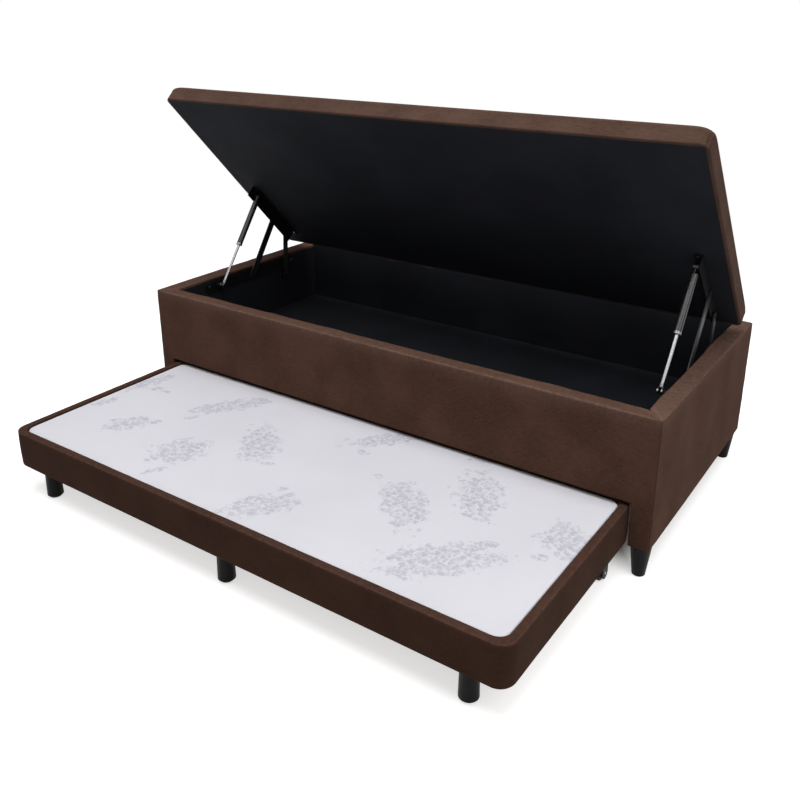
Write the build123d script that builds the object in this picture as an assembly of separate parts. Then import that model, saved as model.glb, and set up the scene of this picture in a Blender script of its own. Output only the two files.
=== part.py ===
from build123d import *
import os
from math import atan2, cos, degrees, hypot, radians, sin

# Single storage bed with a lift-up lid and a pull-out trundle bed, in millimetres.
# X runs along the bed, +Y from the trundle's side to the wall side, +Z up.
# The origin is on the floor, at the middle of the bed's footprint with the trundle out.
# The pieces are modelled as photographed: lid raised on its links, trundle pulled out.

# Overall sizes of the upholstered box
bed_length = 1880.0
bed_width = 880.0
rim_height = 486.0
leg_height = 98.0
wall_thickness = 60.0
opening_top = 227.0
overrun = 5.0

# Layers of a box wall, from the outside in
skin_thickness = 10.0
board_thickness = 12.0
lining_thickness = 3.0
rim_pad = 12.0
rim_outer_round = 11.0
rim_inner_round = 6.0

# Timber in the walls
rail_height = 60.0
stud_width = 40.0
end_post_width = 60.0
stud_count = 5
side_stud_count = 2

# Floor of the storage space
floor_top = 256.0
floor_board_thickness = 12.0
floor_cloth_thickness = 3.0
bearer_height = 16.0
bearer_width = 60.0
ledger_width = 20.0

# Feet of the box
foot_top_radius = 30.0
foot_bottom_radius = 18.0
foot_edge = 2.0
foot_inset_x = 34.0
foot_inset_y = 38.0
foot_stud_radius = 4.0
foot_stud_length = 80.0
foot_stud_engagement = 40.0

# Lid
lid_thickness = 63.0
lid_angle = 46.6
lid_forward = 158.0
lid_rise = 29.0
lid_seat_gap = 0.4
lid_skin = 10.0
lid_pad = 12.0
lid_deck_thickness = 6.0
lid_rail_width = 40.0
lid_slat_width = 70.0
lid_slat_count = 5
lid_corner_round = 16.0
lid_edge_round = 14.0
lid_crown = 2.0
lid_crown_inset = 70.0
least_corner_share = 0.25

# Lifting links, where every point is given along the lid from its rear edge and below the lid
rear_link_along = 95.0
rear_link_drop = 28.0
rear_link_base_z = 395.0
main_link_along = 205.0
main_link_drop = 20.0
main_link_base_z = 446.0
strut_along = 355.0
strut_drop = 20.0
strut_base_front = 245.0
strut_base_z = 452.0
link_thickness = 4.0
rear_link_half_width = 12.0
main_link_half_width = 14.0
layer_gap = 0.4
link_pin_radius = 5.0
collar_radius = 8.0
pin_head_thickness = 1.6
running_clearance = 0.05

# Steel rails that carry the links
base_rail_thickness = 3.0
base_rail_half_height = 20.0
base_rail_overhang = 42.0
lid_rail_thickness = 3.0
lid_rail_leg = 42.0
lid_rail_flange = 26.0
lid_rail_front_margin = 34.0
lid_rail_back_gap = 12.0
rail_screw_head_radius = 5.5
rail_screw_head_height = 2.2
rail_screw_radius = 2.2
rail_screw_length = 22.0
rail_screw_gap = 0.3
base_screw_count = 3
base_screw_rise = 7.0
lid_screw_count = 4
lid_screw_inset = 11.0

# Gas struts
cylinder_radius = 11.0
cylinder_bore_radius = 9.0
cylinder_length = 178.0
gland_length = 9.0
gland_radius = 11.4
gland_edge = 1.5
rod_radius = 5.0
rod_hidden_length = 46.0
piston_radius = 8.9
piston_length = 12.0
eye_length = 16.0
eye_radius = 9.0
eye_neck_radius = 6.5
eye_reach = 22.0
fork_slot_width = 8.0
fork_slot_reach = 12.0
eye_pin_radius = 4.0
eye_head_radius = 7.0
strut_side_gap = 3.8
end_cap_thickness = 6.0
end_cap_edge = 2.5

# Trundle
trundle_length = 1748.0
trundle_depth = 714.0
trundle_out = 664.0
trundle_bottom = 96.0
trundle_top = 217.0
trundle_corner_round = 45.0
trundle_skin = 10.0
trundle_rim_width = 27.0
trundle_mouth_round = 32.0
trundle_rim_round = 5.0
trundle_bottom_edge = 6.0
trundle_rail_thickness = 20.0
trundle_rail_height = 78.0
trundle_deck_thickness = 6.0
trundle_slat_count = 7
trundle_slat_width = 80.0
trundle_slat_height = 20.0
mattress_edge_drop = 5.0
mattress_edge_round = 9.0
edge_share = 0.3
mattress_crown = 4.0
mattress_crown_inset = 90.0
mattress_gap = 0.3

# Feet and rollers of the trundle
glide_radius = 25.0
glide_neck_radius = 23.0
glide_edge = 7.0
glide_inset_x = 118.0
glide_inset_y = 46.0
glide_stud_radius = 4.0
glide_stud_length = 30.0
block_size = 64.0
block_height = 36.0
roller_inset_x = 49.0
roller_inset_y = 96.0
roller_radius = 25.0
roller_width = 22.0
roller_edge = 3.0
roller_side_gap = 1.0
fork_thickness = 7.0
fork_half_width = 17.0
fork_crown_gap = 6.0
roller_axle_radius = 4.0

# Places worked out from the sizes above
half_length = bed_length / 2
box_front = (trundle_out - bed_width) / 2
box_back = box_front + bed_width
inner_half = half_length - wall_thickness
rail_outer = skin_thickness + board_thickness
rail_inner = wall_thickness - lining_thickness
core_top = rim_height - rim_pad
floor_board_top = floor_top - floor_cloth_thickness
floor_board_bottom = floor_board_top - floor_board_thickness
bearer_bottom = floor_board_bottom - bearer_height
lid_seat = rim_height + lid_seat_gap

# Depths of the sideways layers of the links, measured from the middle of the bed
base_rail_in = inner_half - base_rail_thickness
rear_link_out = base_rail_in - layer_gap
rear_link_in = rear_link_out - link_thickness
main_link_out = rear_link_in - layer_gap
main_link_in = main_link_out - link_thickness
lid_leg_out = main_link_in - layer_gap
lid_leg_in = lid_leg_out - lid_rail_thickness
strut_x = lid_leg_in - strut_side_gap - cylinder_radius
eye_out = strut_x + eye_length / 2
eye_in = strut_x - eye_length / 2


def block(x0, x1, y0, y1, z0, z1):
    """A rectangular block between two corners."""
    return Pos((x0 + x1) / 2, (y0 + y1) / 2, (z0 + z1) / 2) * Box(x1 - x0, y1 - y0, z1 - z0)


def disc(x0, x1, point, radius):
    """A round pin along X through a (y, z) point."""
    middle = Pos((x0 + x1) / 2, point[0], point[1])
    return middle * Rot(0, 90, 0) * Cylinder(radius, abs(x1 - x0))


def bar(x0, x1, start, end, half_width):
    """A flat bar with round ends from one (y, z) point to another."""
    length = hypot(end[0] - start[0], end[1] - start[1])
    tilt = degrees(atan2(end[1] - start[1], end[0] - start[0]))
    middle = Pos((x0 + x1) / 2, (start[0] + end[0]) / 2, (start[1] + end[1]) / 2)
    web = middle * Rot(tilt, 0, 0) * Box(abs(x1 - x0), length, half_width * 2)
    return web + disc(x0, x1, start, half_width) + disc(x0, x1, end, half_width)


def rounded_block(length, depth, radius, z0, z1, y_middle):
    """An upright prism over a rectangle with rounded corners, centred on X."""
    outline = Plane.XY.offset(z0) * Pos(0, y_middle) * RectangleRounded(length, depth, radius)
    return extrude(outline, z1 - z0)


def crowned(length, depth, radius, y_middle, levels):
    """A soft pad: rounded rectangles, each (inset, height), joined by a ruled skin."""
    sections = []
    for inset, height in levels:
        corner = max(radius - inset, radius * least_corner_share)
        outline = RectangleRounded(length - inset * 2, depth - inset * 2, corner)
        sections.append(Plane.XY.offset(height) * Pos(0, y_middle) * outline)
    return loft(sections, ruled=True)


def mitred(shape, reach_x, reach_y, y_middle, z0, z1):
    """Cuts a ring into its four sides, with mitred ends at the corners."""
    ridge = reach_x - reach_y
    outlines = {
        "front": [(-reach_x, -reach_y), (reach_x, -reach_y), (ridge, 0), (-ridge, 0)],
        "back": [(reach_x, reach_y), (-reach_x, reach_y), (-ridge, 0), (ridge, 0)],
        "left": [(-reach_x, reach_y), (-reach_x, -reach_y), (-ridge, 0)],
        "right": [(reach_x, -reach_y), (reach_x, reach_y), (ridge, 0)],
    }
    wedges = {}
    for side, corners in outlines.items():
        wedges[side] = Pos(0, y_middle, z0) * extrude(Polygon(*corners, align=None), z1 - z0)
    pieces = {}
    for side in outlines:
        piece = shape
        for other in outlines:
            if other != side:
                piece = piece - wedges[other]
        pieces[side] = piece
    return pieces


def sided(shape, side):
    """The shape as made for the right end, or its mirror image for the left."""
    return shape if side == "right" else mirror(shape, about=Plane.YZ)


def opened(shape):
    """Carries a shape from the closed lid's place to the raised lid's place."""
    hinge_line = Pos(0, -box_back, -lid_seat)
    raised = Pos(0, box_back - lid_forward, lid_seat + lid_rise)
    return raised * Rot(-lid_angle, 0, 0) * hinge_line * shape


def group(shapes):
    """Several separate solids kept together as one piece."""
    solids = []
    for shape in shapes:
        solids.extend(shape.solids())
    return Compound(children=solids)


def spread(count, low, high):
    """Evenly spaced middles from low to high, both included."""
    step = (high - low) / (count - 1)
    return [low + step * i for i in range(count)]


def lid_point(along, drop, raised):
    """The (y, z) place of a point of the lid, closed or raised."""
    turn = radians(lid_angle) if raised else 0
    back = box_back - (lid_forward if raised else 0)
    seat = lid_seat + (lid_rise if raised else 0)
    y = back - along * cos(turn) - drop * sin(turn)
    z = seat + along * sin(turn) - drop * cos(turn)
    return (y, z)


def base_pivot(along, drop, height):
    """The fixed pivot at a height from which a link reaches the lid both closed and raised."""
    closed = lid_point(along, drop, False)
    raised = lid_point(along, drop, True)
    rise = raised[1] - closed[1]
    run = raised[0] - closed[0]
    middle = ((closed[0] + raised[0]) / 2, (closed[1] + raised[1]) / 2)
    return (middle[0] - (height - middle[1]) * rise / run, height)


def link_turn(base, along, drop):
    """Degrees about X that a link turns from the raised lid to the closed lid."""
    raised = lid_point(along, drop, True)
    closed = lid_point(along, drop, False)
    start = atan2(raised[1] - base[1], raised[0] - base[0])
    end = atan2(closed[1] - base[1], closed[0] - base[0])
    return degrees(end - start)


# Pivots of the lifting links and struts in the (y, z) plane
rear_base = base_pivot(rear_link_along, rear_link_drop, rear_link_base_z)
rear_top = lid_point(rear_link_along, rear_link_drop, True)
main_base = base_pivot(main_link_along, main_link_drop, main_link_base_z)
main_top = lid_point(main_link_along, main_link_drop, True)
strut_base = (box_front + strut_base_front, strut_base_z)
strut_top = lid_point(strut_along, strut_drop, True)
strut_top_closed = lid_point(strut_along, strut_drop, False)


# Box upholstery: a padded suede skin over each wall and its rim, mitred at the corners
def wall_cover(length):
    """The cover of one wall, with its outer face on Y = 0 and the wall behind it."""
    half = length / 2
    cover = block(-half, half, 0, wall_thickness, leg_height, rim_height)
    outer_edges = [
        edge for edge in cover.faces().sort_by(Axis.Y)[0].edges()
        if edge.center().Z > leg_height + overrun
    ]
    cover = fillet(outer_edges, rim_outer_round)
    inner_edge = cover.faces().sort_by(Axis.Y)[-1].edges().sort_by(Axis.Z)[-1]
    cover = fillet(inner_edge, rim_inner_round)
    cover = cover - block(
        -half - overrun, half + overrun, skin_thickness, wall_thickness + overrun,
        leg_height - overrun, core_top,
    )
    reach = wall_thickness + overrun
    outline = Polygon(
        (half + overrun, -overrun), (half + overrun, reach), (half - reach, reach), align=None
    )
    mitre = Pos(0, 0, leg_height - overrun) * extrude(outline, rim_height)
    return cover - mitre - mirror(mitre, about=Plane.YZ)


def box_covers():
    middle = (box_front + box_back) / 2
    front = Pos(0, box_front, 0) * wall_cover(bed_length)
    doorway = block(
        -inner_half, inner_half, box_front - overrun, box_front + rail_outer,
        leg_height - overrun, opening_top,
    )
    return {
        "box_cover_front": front - doorway,
        "box_cover_back": Pos(0, box_back, 0) * Rot(0, 0, 180) * wall_cover(bed_length),
        "box_cover_right": Pos(half_length, middle, 0) * Rot(0, 0, 90) * wall_cover(bed_width),
        "box_cover_left": Pos(-half_length, middle, 0) * Rot(0, 0, -90) * wall_cover(bed_width),
    }


# Wall boards and the timber behind them
def wall_boards():
    board_face = half_length - skin_thickness
    rail_face = half_length - rail_outer
    post_inner = half_length - rail_inner
    side = block(
        rail_face, board_face, box_front + skin_thickness, box_back - skin_thickness,
        leg_height, core_top,
    )
    front = block(
        -post_inner, post_inner, box_front + skin_thickness, box_front + rail_outer,
        opening_top, core_top,
    )
    back = block(
        -post_inner, post_inner, box_back - rail_outer, box_back - skin_thickness,
        leg_height, core_top,
    )
    return {
        "right_board": side, "left_board": sided(side, "left"),
        "front_board": front, "back_board": back,
    }


def long_wall_timber(y0, y1, bottom):
    """Top and bottom rails with studs between them, for the front or back wall."""
    reach = half_length - rail_inner
    pieces = [
        block(-reach, reach, y0, y1, core_top - rail_height, core_top),
        block(-reach, reach, y0, y1, bottom, bottom + rail_height),
    ]
    for x in spread(stud_count, stud_width / 2 - reach, reach - stud_width / 2):
        left = x - stud_width / 2
        pieces.append(
            block(left, left + stud_width, y0, y1, bottom + rail_height, core_top - rail_height)
        )
    return group(pieces)


def side_wall_timber():
    """End posts over the feet, with two rails and studs between them."""
    x0 = half_length - rail_inner
    x1 = half_length - rail_outer
    front = box_front + skin_thickness
    back = box_back - skin_thickness
    pieces = [
        block(x0, x1, front, front + end_post_width, leg_height, core_top),
        block(x0, x1, back - end_post_width, back, leg_height, core_top),
    ]
    y0 = front + end_post_width
    y1 = back - end_post_width
    for z0 in (leg_height, core_top - rail_height):
        pieces.append(block(x0, x1, y0, y1, z0, z0 + rail_height))
    bay = (y1 - y0) / (side_stud_count + 1)
    for i in range(side_stud_count):
        y = y0 + bay * (i + 1) - stud_width / 2
        pieces.append(
            block(x0, x1, y, y + stud_width, leg_height + rail_height, core_top - rail_height)
        )
    return group(pieces)


# Storage floor, its bearers and the black cloth lining
def storage_floor():
    reach = half_length - rail_inner
    front = box_front + rail_inner
    back = box_back - rail_inner
    board = block(-reach, reach, front, back, floor_board_bottom, floor_board_top)
    cloth = block(-reach, reach, front, back, floor_board_top, floor_top)
    bearers = []
    for x in spread(stud_count, -reach, reach)[1:-1]:
        bearers.append(
            block(x - bearer_width / 2, x + bearer_width / 2, front, back,
                  bearer_bottom, floor_board_bottom)
        )
    ledger = block(reach - ledger_width, reach, front, back, bearer_bottom, floor_board_bottom)
    bearers.extend([ledger, sided(ledger, "left")])
    return {"storage_floor": board, "lining_floor": cloth, "floor_bearers": group(bearers)}


def wall_linings():
    reach = half_length - rail_inner
    front = box_front + rail_inner
    back = box_back - rail_inner
    side = block(
        inner_half, reach, front + lining_thickness, back - lining_thickness, floor_top, core_top
    )
    return {
        "lining_front": block(-reach, reach, front, front + lining_thickness, floor_top, core_top),
        "lining_back": block(-reach, reach, back - lining_thickness, back, floor_top, core_top),
        "lining_right": side,
        "lining_left": sided(side, "left"),
    }


# Tapered feet under the end posts, each on a threaded stud
def box_feet():
    foot = Pos(0, 0, leg_height / 2) * Cone(foot_bottom_radius, foot_top_radius, leg_height)
    foot = chamfer(foot.faces().sort_by(Axis.Z)[0].edges(), foot_edge)
    stud_bottom = leg_height + foot_stud_engagement - foot_stud_length
    stud = Pos(0, 0, stud_bottom + foot_stud_length / 2) * Cylinder(foot_stud_radius, foot_stud_length)
    x = half_length - foot_inset_x
    feet = []
    studs = []
    for foot_x in (-x, x):
        for foot_y in (box_front + foot_inset_y, box_back - foot_inset_y):
            feet.append(Pos(foot_x, foot_y) * (foot - stud))
            studs.append(Pos(foot_x, foot_y) * stud)
    return {"box_feet": group(feet), "foot_studs": group(studs)}


# Lid: timber frame, thin deck, padded suede cover and a black cloth under it
def lid_pieces():
    depth_middle = (box_front + box_back) / 2
    z0 = lid_seat
    z1 = lid_seat + lid_thickness
    deck_top = z1 - lid_pad
    deck_bottom = deck_top - lid_deck_thickness
    frame_bottom = z0 + lining_thickness
    inner_x = half_length - lid_skin
    inner_front = box_front + lid_skin
    inner_back = box_back - lid_skin
    cover = rounded_block(bed_length, bed_width, lid_corner_round, z0, z1 - lid_crown, depth_middle)
    cover = fillet(cover.faces().sort_by(Axis.Z)[-1].edges(), lid_edge_round)
    crown = crowned(
        bed_length, bed_width, lid_corner_round, depth_middle,
        [(lid_edge_round, z1 - lid_crown), (lid_edge_round + lid_crown_inset, z1)],
    )
    cavity = block(-inner_x, inner_x, inner_front, inner_back, z0 - overrun, deck_top)
    cover = cover + crown - cavity
    deck = block(-inner_x, inner_x, inner_front, inner_back, deck_bottom, deck_top)
    cloth = block(-inner_x, inner_x, inner_front, inner_back, z0, frame_bottom)
    rails = [
        block(-inner_x, inner_x, inner_front, inner_front + lid_rail_width, frame_bottom, deck_bottom),
        block(-inner_x, inner_x, inner_back - lid_rail_width, inner_back, frame_bottom, deck_bottom),
    ]
    rail_front = inner_front + lid_rail_width
    rail_back = inner_back - lid_rail_width
    end_rail = block(
        half_length - wall_thickness - lid_rail_width, inner_x, rail_front, rail_back,
        frame_bottom, deck_bottom,
    )
    rails.extend([end_rail, sided(end_rail, "left")])
    slats = []
    slat_reach = inner_half - lid_rail_width
    for x in spread(lid_slat_count + 2, -slat_reach, slat_reach)[1:-1]:
        slats.append(
            block(x - lid_slat_width / 2, x + lid_slat_width / 2, rail_front, rail_back,
                  frame_bottom, deck_bottom)
        )
    return {
        "lid_cover": opened(cover),
        "lid_deck": opened(deck),
        "lid_lining": opened(cloth),
        "lid_frame": group([opened(rail) for rail in rails]),
        "lid_slats": group([opened(slat) for slat in slats]),
    }


def wall_screw(place):
    """A flush screw through the base rail into the end wall."""
    head = disc(base_rail_in, base_rail_in + rail_screw_head_height, place, rail_screw_head_radius)
    return head + disc(base_rail_in, base_rail_in + rail_screw_length, place, rail_screw_radius)


def lid_screw(x, y):
    """A flush screw up through the lid rail's flange into the lid's end rail."""
    face = lid_seat - lid_rail_thickness
    head = Pos(x, y, face + rail_screw_head_height / 2) * Cylinder(
        rail_screw_head_radius, rail_screw_head_height
    )
    shank = Pos(x, y, face + rail_screw_length / 2) * Cylinder(rail_screw_radius, rail_screw_length)
    return head + shank


# Base rails on the end walls, with the riveted pins that the links and struts turn on
def base_rail(side):
    start = (strut_base[0] - base_rail_overhang, main_base[1])
    end = (rear_base[0] + base_rail_overhang, main_base[1])
    plate = bar(base_rail_in, inner_half, start, end, base_rail_half_height)
    lug_top = (rear_base[0], main_base[1])
    plate = plate + bar(base_rail_in, inner_half, lug_top, rear_base, base_rail_half_height)
    screw_span = spread(base_screw_count, start[0], end[0])
    screw_z = main_base[1] + base_screw_rise
    screw_places = [(y, screw_z) for y in screw_span]
    hole = rail_screw_head_radius + rail_screw_gap
    for place in screw_places:
        plate = plate - disc(base_rail_in - overrun, inner_half + overrun, place, hole)
    rear_end = rear_link_in - layer_gap
    plate = plate + disc(rear_end, base_rail_in, rear_base, link_pin_radius)
    plate = plate + disc(rear_end - pin_head_thickness, rear_end, rear_base, collar_radius)
    main_end = main_link_in - layer_gap
    plate = plate + disc(main_link_out + layer_gap, base_rail_in, main_base, collar_radius)
    plate = plate + disc(main_end, main_link_out + layer_gap, main_base, link_pin_radius)
    plate = plate + disc(main_end - pin_head_thickness, main_end, main_base, collar_radius)
    pin_end = eye_in - layer_gap
    plate = plate + disc(eye_out + layer_gap, base_rail_in, strut_base, collar_radius)
    plate = plate + disc(pin_end, eye_out + layer_gap, strut_base, eye_pin_radius)
    plate = plate + disc(pin_end - pin_head_thickness, pin_end, strut_base, eye_head_radius)
    made = [wall_screw(place) for place in screw_places]
    return {
        "base_rail_" + side: sided(plate, side),
        "base_rail_screws_" + side: group([sided(screw, side) for screw in made]),
    }


# Angle rails under the lid, with the studs that the links and struts end on
def lid_rail(side):
    back = box_back - wall_thickness - lid_rail_back_gap
    front = box_back - strut_along - lid_rail_front_margin
    upright = block(lid_leg_in, lid_leg_out, front, back, lid_seat - lid_rail_leg, lid_seat)
    flange_in = lid_leg_out - lid_rail_flange
    flange = block(flange_in, lid_leg_out, front, back, lid_seat - lid_rail_thickness, lid_seat)
    rail = upright + flange
    screw_x = flange_in + lid_screw_inset
    screw_span = spread(lid_screw_count, front + lid_screw_inset, back - lid_screw_inset)
    hole = rail_screw_head_radius + rail_screw_gap
    for y in screw_span:
        rail = rail - Pos(screw_x, y, lid_seat) * Cylinder(hole, lid_rail_leg)
    rear_stud = lid_point(rear_link_along, rear_link_drop, False)
    rail = rail + disc(lid_leg_out, rear_link_in - layer_gap, rear_stud, collar_radius)
    main_stud = lid_point(main_link_along, main_link_drop, False)
    if side == "left":
        rail = rail + disc(lid_leg_out, main_link_out + layer_gap, main_stud, link_pin_radius)
        head_in = main_link_out + layer_gap
        rail = rail + disc(head_in, head_in + pin_head_thickness, main_stud, collar_radius)
    else:
        rail = rail + disc(lid_leg_in - pin_head_thickness, lid_leg_in, main_stud, collar_radius)
    rail = rail + disc(eye_out + layer_gap, lid_leg_in, strut_top_closed, collar_radius)
    made = [lid_screw(screw_x, y) for y in screw_span]
    return {
        "lid_rail_" + side: opened(sided(rail, side)),
        "lid_rail_screws_" + side: group([opened(sided(screw, side)) for screw in made]),
    }


# The four flat links
def links(side):
    main = bar(main_link_in, main_link_out, main_base, main_top, main_link_half_width)
    bore = link_pin_radius + running_clearance
    main = main - disc(main_link_in - overrun, main_link_out + overrun, main_base, bore)
    if side == "left":
        main = main - disc(main_link_in - overrun, main_link_out + overrun, main_top, bore)
    rear = bar(rear_link_in, rear_link_out, rear_base, rear_top, rear_link_half_width)
    rear = rear - disc(rear_link_in - overrun, rear_link_out + overrun, rear_base, bore)
    return {"main_link_" + side: sided(main, side), "rear_link_" + side: sided(rear, side)}


# Gas struts, made upright at the base pivot and then tilted to the raised lid
def strut(side):
    length = hypot(strut_top[0] - strut_base[0], strut_top[1] - strut_base[1])
    tilt = degrees(atan2(strut_top[1] - strut_base[1], strut_top[0] - strut_base[0])) - 90
    place = Pos(strut_x, strut_base[0], strut_base[1]) * Rot(tilt, 0, 0)
    eye_bore = eye_pin_radius + running_clearance
    cap_top = length - eye_reach
    cap_bottom = cap_top - end_cap_thickness
    tube_bottom = cap_top - cylinder_length
    gland_bottom = tube_bottom - gland_length
    rod_top = tube_bottom + rod_hidden_length

    def upright(radius, z0, z1):
        return Pos(0, 0, (z0 + z1) / 2) * Cylinder(radius, z1 - z0)

    end = Rot(0, 90, 0) * Cylinder(eye_radius, eye_length)
    end = end + upright(eye_neck_radius, 0, eye_reach)
    slot_half = fork_slot_width / 2
    end = end - block(
        -slot_half, slot_half, -eye_radius - overrun, eye_radius + overrun,
        -eye_radius - overrun, fork_slot_reach,
    )
    end = end - Rot(0, 90, 0) * Cylinder(eye_bore, eye_length + overrun)
    rod = upright(rod_radius, eye_reach, rod_top) + upright(piston_radius, rod_top, rod_top + piston_length)
    gland = upright(gland_radius, gland_bottom, tube_bottom)
    gland = gland - upright(rod_radius + running_clearance, gland_bottom - overrun, tube_bottom + overrun)
    gland = chamfer(gland.faces().sort_by(Axis.Z)[0].outer_wire().edges(), gland_edge)
    tube = upright(cylinder_radius, tube_bottom, cap_top)
    tube = tube - upright(cylinder_bore_radius, tube_bottom - overrun, cap_bottom)
    tube = chamfer(tube.faces().sort_by(Axis.Z)[-1].edges(), end_cap_edge)
    top_eye = Pos(0, 0, length) * Rot(0, 90, 0) * Cylinder(eye_radius, eye_length)
    top_eye = top_eye + upright(eye_neck_radius, cap_bottom, length)
    clip = Pos(-eye_length / 2 - pin_head_thickness / 2, 0, length) * Rot(0, 90, 0) * Cylinder(
        eye_head_radius, pin_head_thickness
    )
    cylinder = tube + top_eye + clip
    pieces = {"strut_end_": end, "strut_rod_": rod, "strut_gland_": gland, "strut_cylinder_": cylinder}
    return {name + side: sided(place * piece, side) for name, piece in pieces.items()}


# Trundle: rounded upholstered tray with a thin inset mattress
def trundle_pieces():
    front = box_front - trundle_out
    back = front + trundle_depth
    middle = (front + back) / 2
    half = trundle_length / 2
    body = rounded_block(
        trundle_length, trundle_depth, trundle_corner_round, trundle_bottom, trundle_top, middle
    )
    body = fillet(body.faces().sort_by(Axis.Z)[-1].edges(), trundle_rim_round)
    body = chamfer(body.faces().sort_by(Axis.Z)[0].edges(), trundle_bottom_edge)
    hollow_radius = trundle_corner_round - trundle_skin
    frame_top = trundle_bottom + trundle_rail_height
    mouth = rounded_block(
        trundle_length - trundle_rim_width * 2, trundle_depth - trundle_rim_width * 2,
        trundle_mouth_round, frame_top, trundle_top + overrun, middle,
    )
    hollow = rounded_block(
        trundle_length - trundle_skin * 2, trundle_depth - trundle_skin * 2, hollow_radius,
        trundle_bottom - overrun, frame_top + trundle_deck_thickness, middle,
    )
    cover = body - mouth - hollow
    tray = rounded_block(
        trundle_length - trundle_skin * 2, trundle_depth - trundle_skin * 2, hollow_radius,
        trundle_bottom, frame_top, middle,
    )
    inside = trundle_skin + trundle_rail_thickness
    tray = tray - block(
        inside - half, half - inside, front + inside, back - inside,
        trundle_bottom - overrun, frame_top + overrun,
    )
    rails = mitred(
        tray, half, trundle_depth / 2, middle, trundle_bottom - overrun, frame_top + overrun
    )
    slats = []
    slat_reach = half - inside - trundle_slat_width / 2
    for x in spread(trundle_slat_count, -slat_reach, slat_reach):
        slats.append(
            block(x - trundle_slat_width / 2, x + trundle_slat_width / 2, front + inside,
                  back - inside, frame_top - trundle_slat_height, frame_top)
        )
    deck = rounded_block(
        trundle_length - trundle_skin * 2, trundle_depth - trundle_skin * 2, hollow_radius,
        frame_top, frame_top + trundle_deck_thickness, middle,
    )
    pad_inset = trundle_rim_width + mattress_gap
    edge_top = trundle_top - mattress_edge_drop
    pad = crowned(
        trundle_length - pad_inset * 2, trundle_depth - pad_inset * 2, trundle_mouth_round, middle,
        [
            (0, frame_top + trundle_deck_thickness),
            (0, edge_top - mattress_edge_round),
            (mattress_edge_round * edge_share, edge_top - mattress_edge_round * edge_share),
            (mattress_edge_round, edge_top),
            (mattress_crown_inset, edge_top + mattress_crown),
        ],
    )
    return {
        "trundle_cover": cover,
        "trundle_frame": group(rails.values()),
        "trundle_slats": group(slats),
        "trundle_deck": deck,
        "trundle_mattress": pad,
    }


# Corner blocks, fixed front feet and rear rollers under the trundle
def trundle_running_gear():
    front = box_front - trundle_out
    back = front + trundle_depth
    half = trundle_length / 2
    reach = half - glide_inset_x
    roller_reach = half - roller_inset_x
    front_y = front + glide_inset_y
    back_y = back - roller_inset_y
    inside = trundle_skin + trundle_rail_thickness
    rear_block_reach = half - inside - block_size / 2
    glide = Pos(0, 0, trundle_bottom / 2) * Cone(glide_radius, glide_neck_radius, trundle_bottom)
    glide = chamfer(glide.faces().sort_by(Axis.Z)[0].edges(), glide_edge)
    stud = Pos(0, 0, trundle_bottom + glide_stud_length / 2) * Cylinder(
        glide_stud_radius, glide_stud_length
    )
    axle_point = (back_y, roller_radius)
    cheek_in = roller_width / 2 + roller_side_gap
    cheek_out = cheek_in + fork_thickness
    crown_bottom = roller_radius * 2 + fork_crown_gap
    blocks = []
    glides = []
    forks = []
    axles = []
    wheels = {}
    for side, name in ((-1, "left"), (0, "centre"), (1, "right")):
        rest = block(
            -block_size / 2, block_size / 2, front + inside, front + inside + block_size,
            trundle_bottom, trundle_bottom + block_height,
        )
        rear_rest = block(
            -block_size / 2, block_size / 2, back_y - block_size / 2, back - inside,
            trundle_bottom, trundle_bottom + block_height,
        )
        blocks.append(Pos(side * reach, 0) * rest - Pos(side * reach, front_y) * stud)
        blocks.append(Pos(side * rear_block_reach, 0) * rear_rest)
        glides.append(Pos(side * reach, front_y) * (glide + stud))
        x = side * roller_reach
        fork = block(
            x - cheek_out, x + cheek_out, back_y - fork_half_width, back_y + fork_half_width,
            crown_bottom, trundle_bottom,
        )
        for x0 in (x - cheek_out, x + cheek_in):
            fork = fork + bar(
                x0, x0 + fork_thickness, axle_point, (back_y, crown_bottom), fork_half_width
            )
        forks.append(fork - disc(x - cheek_out, x + cheek_out, axle_point, roller_axle_radius))
        axles.append(disc(x - cheek_out, x + cheek_out, axle_point, roller_axle_radius))
        wheel = disc(x - roller_width / 2, x + roller_width / 2, axle_point, roller_radius)
        wheel = chamfer(wheel.edges().filter_by(GeomType.CIRCLE), roller_edge)
        wheel = wheel - disc(
            x - roller_width, x + roller_width, axle_point, roller_axle_radius + running_clearance
        )
        wheels["roller_" + name] = wheel
    pieces = {
        "trundle_blocks": group(blocks), "trundle_feet": group(glides),
        "roller_forks": group(forks), "roller_axles": group(axles),
    }
    pieces.update(wheels)
    return pieces


parts = {}
parts.update(box_covers())
parts.update(wall_boards())
front_timber = box_front + rail_outer
back_timber = box_back - rail_inner
timber_depth = rail_inner - rail_outer
parts["front_timber"] = long_wall_timber(front_timber, front_timber + timber_depth, opening_top)
parts["back_timber"] = long_wall_timber(back_timber, back_timber + timber_depth, leg_height)
parts["right_timber"] = side_wall_timber()
parts["left_timber"] = sided(side_wall_timber(), "left")
parts.update(storage_floor())
parts.update(wall_linings())
parts.update(box_feet())
parts.update(lid_pieces())
for end in ("left", "right"):
    parts.update(base_rail(end))
    parts.update(lid_rail(end))
    parts.update(links(end))
    parts.update(strut(end))
parts.update(trundle_pieces())
parts.update(trundle_running_gear())

os.makedirs("parts", exist_ok=True)
for name, shape in parts.items():
    export_step(shape, "parts/" + name + ".step")

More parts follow.
